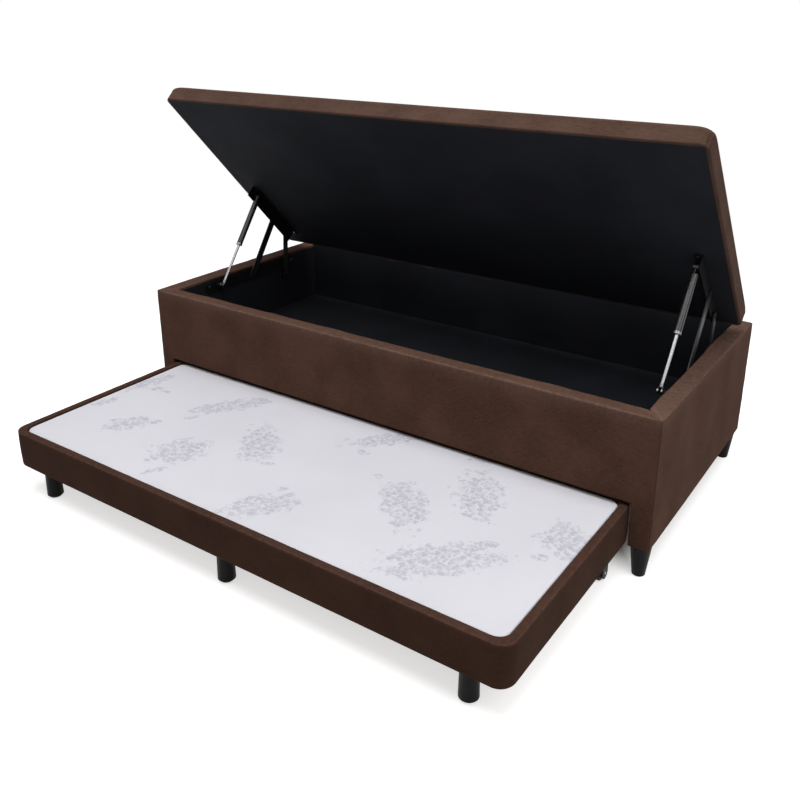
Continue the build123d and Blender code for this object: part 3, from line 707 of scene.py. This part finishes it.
# The lid: a softwood frame with slats and a thin deck, padded and covered in the same suede,
# painted lighter and greyer as if more light fell on it.
# The cover is drawn round the edges, stapled under them, and sewn down the four corners.
lid_angle = math.radians(46.6)
lid_forward, lid_rise = 0.158, 0.029  # how far its rear edge moves as it opens
lid_seat = 0.4864
lid_thickness = 0.063
lid_corner_round = 0.022
lid_edge_round = 0.014
lid_sag = 0.010  # how far its top is sunk at the corners
lid_sag_length = 0.024
lid_pad = 0.012
lid_under_gap = 0.0002
lid_crown = 0.002
lid_crown_inset = 0.070
lid_hem = 0.010
lid_plan_steps = (0.0016, 0.016, 1.15)
lid_side_steps = (0.0012, 0.006)
lid_lining_steps = (0.004, 0.020)
lid_seam_width = 0.0035
lid_seam_reach = 0.03
lid_top_fade, lid_side_fade = 0.01, 0.012  # where the waves die out at the edge
lid_top_waves = ((0.24, 0.0016, 2.0), (0.05, 0.0007, 4.0))
lid_side_waves = ((0.20, 0.0014, 6.0), (0.035, 0.0007, 8.0, 1, 1, 0.5))


def raised_lid():
    """Carries the closed lid to where it stands open."""
    hinge_line = Matrix.Translation((0, -box_back, -lid_seat))
    raised = Matrix.Translation((0, box_back - lid_forward, lid_seat + lid_rise))
    return raised @ Matrix.Rotation(-lid_angle, 4, "X") @ hinge_line


def core_of(x, y, xs, ys, corner):
    """The nearest point to a spot that lies a corner's radius inside a rectangle's grid."""
    return held(x, xs[0] + corner, xs[-1] - corner), held(y, ys[0] + corner, ys[-1] - corner)


def rounded_plan(xs, ys, corner):
    """A rectangle's grid of points, drawn in at the corners to a radius, each with its
    distance from the border."""
    spots = []
    for row in ys:
        for column in xs:
            border = min(column - xs[0], xs[-1] - column, row - ys[0], ys[-1] - row)
            core_x, core_y = core_of(column, row, xs, ys, corner)
            dx, dy = column - core_x, row - core_y
            pull = max(abs(dx), abs(dy)) / math.hypot(dx, dy) if dx and dy else 1.0
            spots.append((core_x + dx * pull, core_y + dy * pull, border))
    return spots


def edge_drop(border, radius):
    """How far a rounded top edge has fallen at a distance from the border."""
    if border >= radius:
        return 0.0
    return radius - math.sqrt(radius ** 2 - (radius - border) ** 2)


def crown_rise(border, start, width, height):
    """A soft crown that rises from the edge inwards."""
    share = held((border - start) / width, 0.0, 1.0)
    return height * share * share * (3 - 2 * share)


def from_edges(x, y):
    """How far in from the lid's end and from its side a point lies."""
    return half_length - abs(x), bed_width / 2 - abs(y - box_middle)


def corner_sag(x, y):
    """How far the padding's top has sunk towards the lid's corners."""
    return lid_sag * falling_off(math.hypot(*from_edges(x, y)), lid_sag_length)


def lid_side(x, y, z, shoulder, core):
    """A point of the lid's side, where the cloth sinks, is sewn and is turned under."""
    end_in, side_in = from_edges(x, y)
    seam = falling_off(end_in - side_in, lid_seam_width)
    sink = waves((x, y, z), lid_side_waves)
    sink += (seam if max(end_in, side_in) < lid_seam_reach else 0.0) * seam_depth
    sink *= min(1.0, (shoulder - z) / lid_side_fade)
    sink += hem_draw * max(0.0, 1 - (z - lid_seat) / hem_tuck) ** 2
    inward = (Vector(core) - Vector((x, y))).normalized()
    lower = corner_sag(x, y) * (z - lid_seat) / (shoulder - lid_seat)
    return x + inward.x * sink, y + inward.y * sink, z - lower


def lid_hemmed(x, y, z):
    """A point of the lid's plan, at a height, held inside the cover's turned edge."""
    return (held(x, -half_length + lid_hem, half_length - lid_hem),
            held(y, box_front + lid_hem, box_back - lid_hem), z)


def add_loop(points, faces, spots, previous):
    """Joins one more closed loop of points to the loop before it, and numbers it."""
    loop = list(range(len(points), len(points) + len(spots)))
    points += spots
    faces += band(loop, previous)
    return loop


def close_under(points, faces, spots, size, previous):
    """Closes a slab below with a grid of points, joined to the last loop."""
    start = len(points)
    points += spots
    faces += grid_faces(*size, start, True)
    faces += band(edge_loop(*size, start), previous)


def lid_cover():
    xs = graded(-half_length, half_length, *lid_plan_steps)
    ys = graded(box_front, box_back, *lid_plan_steps)
    size = len(xs), len(ys)
    plan = rounded_plan(xs, ys, lid_corner_round)
    top = lid_seat + lid_thickness
    shoulder = top - lid_crown - lid_edge_round
    points = []
    for x, y, border in plan:
        z = top - lid_crown - edge_drop(border, lid_edge_round)
        z += crown_rise(border, lid_edge_round, lid_crown_inset, lid_crown)
        soft = waves((x, y, 1.0), lid_top_waves) * min(1.0, border / lid_top_fade)
        points.append((x, y, z - soft - corner_sag(x, y)))
    faces = grid_faces(*size)
    loop = edge_loop(*size)
    rim = [plan[i][:2] for i in loop]
    for z in reversed(graded(lid_seat, shoulder, *lid_side_steps)[:-1]):
        ring = [
            lid_side(x, y, z, shoulder, core_of(x, y, xs, ys, lid_corner_round)) for x, y in rim
        ]
        loop = add_loop(points, faces, ring, loop)
    for z in (lid_seat, top - lid_pad):
        loop = add_loop(points, faces, [lid_hemmed(x, y, z) for x, y in rim], loop)
    under = [lid_hemmed(x, y, top - lid_pad + lid_under_gap) for x, y, _ in plan]
    close_under(points, faces, under, size, loop)
    place = raised_lid()
    placed = [place @ Vector(p) for p in points]
    cover = make_piece("suede_lid", placed, faces, lid_suede, "lid", soft_edge)
    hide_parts("lid_cover")


def lid_underside():
    """The black cloth stapled under the lid, inside the cover's turned edge."""
    width, length = bed_length - 2 * lid_hem, bed_width - 2 * lid_hem
    corner = Matrix.Translation((-width / 2, box_back - lid_hem, lid_seat + lining_thickness))
    turn = Matrix(((1, 0, 0), (0, -1, 0), (0, 0, -1))).to_4x4()
    place = raised_lid() @ corner @ turn
    points, faces = thin_cloth(place, width, length, lining_wrinkle, seed=41.0,
                               steps=lid_lining_steps)
    cloth = make_piece("cloth_lid_lining", points, faces, lining_cloth, "lid")
    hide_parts("lid_lining")


# A lighter, greyer copy of the suede: painted light on the lid.
lid_suede = brushed_suede("lid_suede", (0.041, 0.0212, 0.0152), (0.081, 0.0460, 0.0348),
                          (0.122, 0.074, 0.056), (0.155, 0.096, 0.075))
lid_cover()
lid_underside()
dress(pine, "pine", "lid_frame", "lid_slats")
dress(board, "board", "lid_deck")


# The lifting gear at each end: a black enamelled rail on the wall, an angle rail under the
# lid, two flat links between them, all on bright rivets and screws, and a gas strut.
def enamelled_steel(name, dark, light, rough, shine):
    material, tree = finish_of(name, rough, Specular_IOR_Level=shine)
    colour = mix_colours(tree, between(tree, grain(tree, 0.02, 4.0), 0, 1), dark, light)
    uneven = between(tree, grain(tree, 0.006), rough - 0.06, rough + 0.08)
    return coated(material, colour, grain(tree, 0.0014, 2.0), 0.00008, 0.5, Roughness=uneven)


black_enamel = enamelled_steel("black_enamel", (0.008, 0.008, 0.009), (0.016, 0.016, 0.018),
                               0.36, 0.4)
dull_enamel = enamelled_steel("dull_enamel", (0.004, 0.004, 0.005), (0.007, 0.007, 0.008),
                              0.66, 0.08)
strut_black = enamelled_steel("strut_black", (0.006, 0.006, 0.007), (0.011, 0.011, 0.012),
                              0.24, 0.5)
chrome_rod = plated_steel("chrome_rod", (0.30, 0.30, 0.31), (0.44, 0.44, 0.45), 0.18, 0.26)
bright_end = plated_steel("bright_end", (0.14, 0.14, 0.145), (0.26, 0.26, 0.27), 0.24, 0.38)
for end in ("left", "right"):
    dress(black_enamel, "black_steel", "main_link_" + end, "rear_link_" + end)
    dress(dull_enamel, "black_steel", "base_rail_" + end, "lid_rail_" + end)
    dress(zinc_plate, "steel", "base_rail_screws_" + end, "lid_rail_screws_" + end)
    dress(bright_end, "strut_end", "strut_end_" + end, "strut_gland_" + end)
    dress(chrome_rod, "strut_rod", "strut_rod_" + end)
    dress(strut_black, "strut_tube", "strut_cylinder_" + end)

# The trundle's tray: a low softwood frame with slats and a thin deck, covered in suede, painted
# darker as shade, over wadding that stands up round the mattress as a soft rim with rounded
# corners.
tray_front, tray_back = -0.772, -0.058
tray_middle = (tray_front + tray_back) / 2
tray_half = 0.874
tray_bottom, tray_top = 0.096, 0.217
tray_corner = 0.045
tray_corner_parts = 14
tray_rim = 0.027
tray_mouth_round = 0.032
tray_rim_round = 0.0045
tray_rim_crown = 0.0012
tray_bottom_round = 0.008
deck_top = 0.180
tray_bulge = 0.0014
tray_path_steps = (0.006, 0.014)
tray_side_steps = (0.002, 0.008)
tray_rounding = 5
tray_waves = ((0.26, 0.0015, 21.0), (0.030, 0.0008, 23.0, 1, 1, 0.4))
tray_rim_lumps = ((0.045, 0.0010, 25.0),)
tray_top_from = 0.6
# Painted highlight on the rim's outer edge, how light and how wide, and the rim's top painted
# lighter.
tray_edge_highlight = (0.6, 0.007)
tray_painted_top_light = 0.22
tray_soft_edge = 60.0
mouth_tries = 24


def tray_path():
    """Points round the tray's border with the outward direction at each, anticlockwise."""
    end = tray_half - tray_corner
    straight_x = graded(-end, end, *tray_path_steps)
    straight_y = graded(tray_front + tray_corner, tray_back - tray_corner, *tray_path_steps)
    path = [((x, tray_front), (0.0, -1.0)) for x in straight_x]
    path += [((tray_half, y), (1.0, 0.0)) for y in straight_y]
    path += [((x, tray_back), (0.0, 1.0)) for x in reversed(straight_x)]
    path += [((-tray_half, y), (-1.0, 0.0)) for y in reversed(straight_y)]
    turned = []
    for i, (spot, out) in enumerate(path):
        turned.append((Vector(spot), Vector(out)))
        next_out = path[(i + 1) % len(path)][1]
        if out != next_out:
            centre = Vector(spot) - Vector(out) * tray_corner
            for k in range(1, tray_corner_parts):
                a = math.radians(90 * k / tray_corner_parts)
                away = Vector(out) * math.cos(a) + Vector(next_out) * math.sin(a)
                turned.append((centre + away * tray_corner, away))
    return turned


def mouth_depth(spot, out):
    """How far in from the border the rim's inner edge lies, at a point of the path."""
    half = Vector((tray_half - tray_rim, (tray_back - tray_front) / 2 - tray_rim))
    near, far = 0.0, 2 * tray_rim
    for _ in range(mouth_tries):
        depth = (near + far) / 2
        p = spot - out * depth - Vector((0.0, tray_middle))
        q = Vector((abs(p.x) - half.x + tray_mouth_round, abs(p.y) - half.y + tray_mouth_round))
        outside = math.hypot(max(q.x, 0.0), max(q.y, 0.0)) + min(max(q.x, q.y), 0.0)
        if outside > tray_mouth_round:
            near = depth
        else:
            far = depth
    return far


def tray_profile():
    """The tray cover's section as (depth, height, outward depth, outward height)."""
    rows = [(suede_thickness, tray_bottom, 0.0, 0.0)]
    for s, c in [(0.0, 1.0)] + quarter_turn(tray_rounding):
        depth = tray_bulge + tray_bottom_round * (1 - s)
        rows.append((depth, tray_bottom + tray_bottom_round * (1 - c), -s, 0.0))
    side_low, side_top = tray_bottom + tray_bottom_round, tray_top - tray_rim_round
    for z in graded(side_low, side_top, *tray_side_steps)[1:]:
        share = (z - side_low) / (side_top - side_low)
        rows.append((tray_bulge * (2 * share - 1) ** 2, z, -1.0, 0.0))
    rim_edge = tray_top - tray_rim_crown
    rows += rounded_up(tray_bulge, rim_edge, tray_rim_round, tray_rounding)
    crown_from, crown_to = tray_bulge + tray_rim_round, tray_rim - tray_rim_round
    for i in range(1, tray_rounding + 1):
        share = i / tray_rounding
        height = rim_edge + tray_rim_crown * math.sin(math.pi * share)
        rows.append((crown_from + (crown_to - crown_from) * share, height, 0.0, 1.0))
    rows += rounded_down(tray_rim, rim_edge, tray_rim_round, tray_rounding)
    return rows + [(tray_rim, deck_top, 0.0, 0.0), (suede_thickness, deck_top, 0.0, 0.0)]


def tray_cover():
    path = tray_path()
    rows = tray_profile()
    points, painted_light = [], []
    for spot, out in path:
        widening = (mouth_depth(spot, out) - suede_thickness) / (tray_rim - suede_thickness)
        for depth, z, out_depth, out_up in rows:
            if depth > suede_thickness:
                depth = suede_thickness + (depth - suede_thickness) * widening
            p = spot - out * depth
            here = (p.x, p.y, z)
            on_top = out_up > tray_top_from
            # Each point's share of painted highlight, for the suede to read.
            share, reach = tray_edge_highlight
            highlight_share = share * falling_off(math.hypot(depth, tray_top - z), reach)
            painted_light.append(max(highlight_share, tray_painted_top_light if on_top else 0.0))
            sink = waves(here, tray_waves)
            lump = waves(here, tray_rim_lumps) if on_top else 0.0
            drawn = sink * out_depth
            points.append((
                p.x + out.x * drawn, p.y + out.y * drawn, z - (sink + lump) * max(0.0, out_up),
            ))
    count = len(rows)
    loops = [range(s * count, (s + 1) * count) for s in range(len(path))]
    faces = []
    for s, loop in enumerate(loops):
        faces += band(loop, loops[(s + 1) % len(loops)])
    cover = make_piece("suede_tray", points, faces, tray_suede, "trundle", tray_soft_edge)
    cover.data.attributes.new("rubbed", "FLOAT", "POINT").data.foreach_set("value", painted_light)
    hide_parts("trundle_cover")


# A darker copy of the suede: painted shade on the low trundle.
tray_suede = brushed_suede("tray_suede", (0.026, 0.0116, 0.0076), (0.046, 0.0218, 0.0148),
                           (0.068, 0.035, 0.025), (0.130, 0.072, 0.054))
tray_cover()
dress(pine, "pine", "trundle_frame", "trundle_slats", "trundle_blocks")
dress(board, "board", "trundle_deck")

# The trundle's mattress: a thin foam pad in pale woven ticking, pressed into the tray. Grey
# sprays of small flowers are woven into the cloth at random.
mattress_gap = 0.0003
mattress_edge = 0.009
mattress_drop = 0.005
mattress_crown = 0.004
mattress_crown_width = 0.090
mattress_steps = (0.0013, 0.011)
mattress_folds = (0.006, 0.012)
mattress_waves = ((0.16, 0.0022, 31.0, 0.5, 1, 1), (0.06, 0.0006, 33.0))
mattress_edge_waves = ((0.028, 0.0010, 35.0),)
mattress_edge_pull = 0.03
mattress_fade = 0.012
sprays = (
    # middle x, middle y, half length, half width, turn in degrees
    (-0.809, -0.281, 0.100, 0.040, 76),
    (-0.737, -0.305, 0.030, 0.020, 15),
    (-0.695, -0.306, 0.016, 0.012, 15),
    (-0.610, -0.541, 0.080, 0.052, 62),
    (-0.549, -0.485, 0.040, 0.012, 50),
    (-0.804, -0.468, 0.052, 0.026, 75),
    (-0.335, -0.566, 0.098, 0.078, 60),
    (-0.314, -0.689, 0.045, 0.014, 60),
    (-0.432, -0.257, 0.148, 0.045, 54),
    (-0.477, -0.395, 0.032, 0.012, 55),
    (-0.175, -0.400, 0.130, 0.066, 126),
    (-0.102, -0.391, 0.022, 0.016, 20),
    (-0.063, -0.473, 0.020, 0.014, 20),
    (0.063, -0.652, 0.122, 0.058, 50),
    (0.061, -0.560, 0.024, 0.018, 20),
    (0.124, -0.164, 0.135, 0.046, 48),
    (0.118, -0.261, 0.022, 0.016, 30),
    (0.378, -0.430, 0.132, 0.070, 130),
    (0.234, -0.351, 0.022, 0.014, 20),
    (0.517, -0.275, 0.140, 0.072, 122),
    (0.429, -0.104, 0.050, 0.014, 20),
    (0.588, -0.585, 0.160, 0.072, 42),
    (0.650, -0.468, 0.028, 0.018, 20),
    (0.800, -0.335, 0.090, 0.066, 130),
    (0.736, -0.362, 0.020, 0.015, 40),
    (0.775, -0.442, 0.026, 0.018, 20),
)
large_flowers, small_flowers = 48.0, 86.0  # how many to a metre
petals = 5.0
# Shares of a flower's size: its reach between petals and at their tips, and where the
# petals' edge, the line inside it and the eye start and are full.
petal_reach = (0.30, 0.46)
petal_edge = (0.0, 0.06)
petal_line = (0.18, 0.05)
flower_eye = (0.15, 0.09)
flower_strength = (0.30, 1.0)


def spray_strength(x, y):
    """How far inside a spray of flowers a point of the ticking lies."""
    best = -1.0
    for mid_x, mid_y, long, wide, turn in sprays:
        a = math.radians(turn)
        u = (x - mid_x) * math.cos(a) + (y - mid_y) * math.sin(a)
        v = (y - mid_y) * math.cos(a) - (x - mid_x) * math.sin(a)
        best = max(best, 1.0 - math.hypot(u / long, v / wide))
    return best


def blossoms(tree, place, per_metre, start):
    """Five-petalled flowers scattered over a cloth: where they and their lines show."""
    flat = add(tree, "ShaderNodeMapping", Vector=place, Location=(start, start, 0.0),
               Scale=(per_metre, per_metre, 0.0)).outputs[0]
    cells = add(tree, "ShaderNodeTexVoronoi", {"voronoi_dimensions": "2D"}, Vector=flat, Scale=1.0,
                Randomness=0.85).outputs
    from_eye = reckon_place(tree, "SUBTRACT", flat, cells["Position"])
    arm = add(tree, "ShaderNodeSeparateXYZ", None, from_eye).outputs
    chance = add(tree, "ShaderNodeSeparateColor", None, cells["Color"]).outputs
    angle = reckon(tree, "ARCTAN2", arm["Y"], arm["X"])
    spin = reckon(tree, "MULTIPLY_ADD", chance[0], 2 * math.pi, angle)
    lobes = reckon(tree, "COSINE", reckon(tree, "MULTIPLY", spin, petals))
    outer = carry(tree, lobes, -1.0, 1.0, *petal_reach)
    within = reckon(tree, "SUBTRACT", outer, cells["Distance"])
    outline = carry(tree, within, *petal_line)
    eye = carry(tree, cells["Distance"], *flower_eye)
    strength = carry(tree, chance[1], 0.0, 1.0, *flower_strength)
    shown = reckon(tree, "MULTIPLY", carry(tree, within, *petal_edge), strength)
    return shown, reckon(tree, "MAXIMUM", outline, eye)


def woven_ticking(name, ground, petal, shadow):
    """Pale damask: a fine sateen ground, with sprays of five-petalled flowers in grey thread."""
    material, tree = finish_of(
        name, 0.62, Specular_IOR_Level=0.3, Sheen_Weight=0.08, Sheen_Roughness=0.4)
    place = own_place(tree)
    depth = add(tree, "ShaderNodeAttribute", {"attribute_name": "spray"}).outputs["Fac"]
    ragged = reckon(tree, "ADD", depth, between(tree, grain(tree, 0.026), -0.42, 0.30))
    inside = carry(tree, ragged, 0.0, 0.20)
    clouds = between(tree, grain(tree, 0.25, 4.0), 0, 0.25)
    colour = mix_colours(tree, clouds, ground, petal)
    veins = between(tree, grain(tree, 0.011), -0.30, 0.55)
    leaves = reckon(tree, "MULTIPLY", inside, veins, clamp=True)
    colour = mix_colours(tree, leaves, colour, petal)
    for per_metre, start in ((small_flowers, 0.0), (large_flowers, 7.0)):
        flower, lines = blossoms(tree, place, per_metre, start)
        woven = reckon(tree, "MULTIPLY", flower, inside)
        colour = mix_colours(tree, woven, colour, mix_colours(tree, lines, petal, shadow))
    threads = add(tree, "ShaderNodeTexWave", {"bands_direction": "DIAGONAL"}, Vector=place,
                  Scale=380.0, Distortion=1.5)
    height = reckon(tree, "MULTIPLY_ADD", woven, 2.0, threads.outputs["Fac"])
    return coated(material, colour, height, 0.0002, 0.5)


def mattress():
    inset = tray_rim + mattress_gap
    xs = graded(-tray_half + inset, tray_half - inset, *mattress_steps)
    ys = graded(tray_front + inset, tray_back - inset, *mattress_steps)
    size = len(xs), len(ys)
    plan = rounded_plan(xs, ys, tray_mouth_round)
    top = tray_top - mattress_drop
    points = []
    for x, y, border in plan:
        z = top - edge_drop(border, mattress_edge)
        z += crown_rise(border, mattress_edge, mattress_crown_width, mattress_crown)
        pull = math.exp(-border / mattress_edge_pull)
        soft = waves((x, y, 2.0), mattress_waves)
        soft += pull * waves((x, y, 2.0), mattress_edge_waves)
        points.append((x, y, z - soft * min(1.0, border / mattress_fade)))
    faces = grid_faces(*size)
    loop = edge_loop(*size)
    rim = [plan[i][:2] for i in loop]
    for z in [top - mattress_edge - fold for fold in mattress_folds] + [deck_top]:
        loop = add_loop(points, faces, [(x, y, z) for x, y in rim], loop)
    close_under(points, faces, [(x, y, deck_top) for x, y, _ in plan], size, loop)
    pad = make_piece("mattress", points, faces, ticking, "trundle", soft_edge)
    strengths = [spray_strength(x, y) for x, y, _ in points]
    pad.data.attributes.new("spray", "FLOAT", "POINT").data.foreach_set("value", strengths)
    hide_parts("trundle_mattress")


ticking = woven_ticking("ticking", (0.655, 0.65, 0.695), (0.525, 0.518, 0.572),
                        (0.385, 0.376, 0.442))
mattress()

# The trundle's rollers: hard black wheels in blackened steel forks under its rear edge, each
# free on its own plated axle.
roller_plastic = moulded_plastic("roller_plastic", (0.010, 0.010, 0.010), (0.022, 0.022, 0.022))
black_zinc = enamelled_steel("black_zinc", (0.006, 0.006, 0.006), (0.012, 0.012, 0.012), 0.5, 0.15)
dress(roller_plastic, "roller_plastic", "roller_left", "roller_centre", "roller_right")
dress(black_zinc, "steel", "roller_forks")
dress(zinc_plate, "steel", "roller_axles")
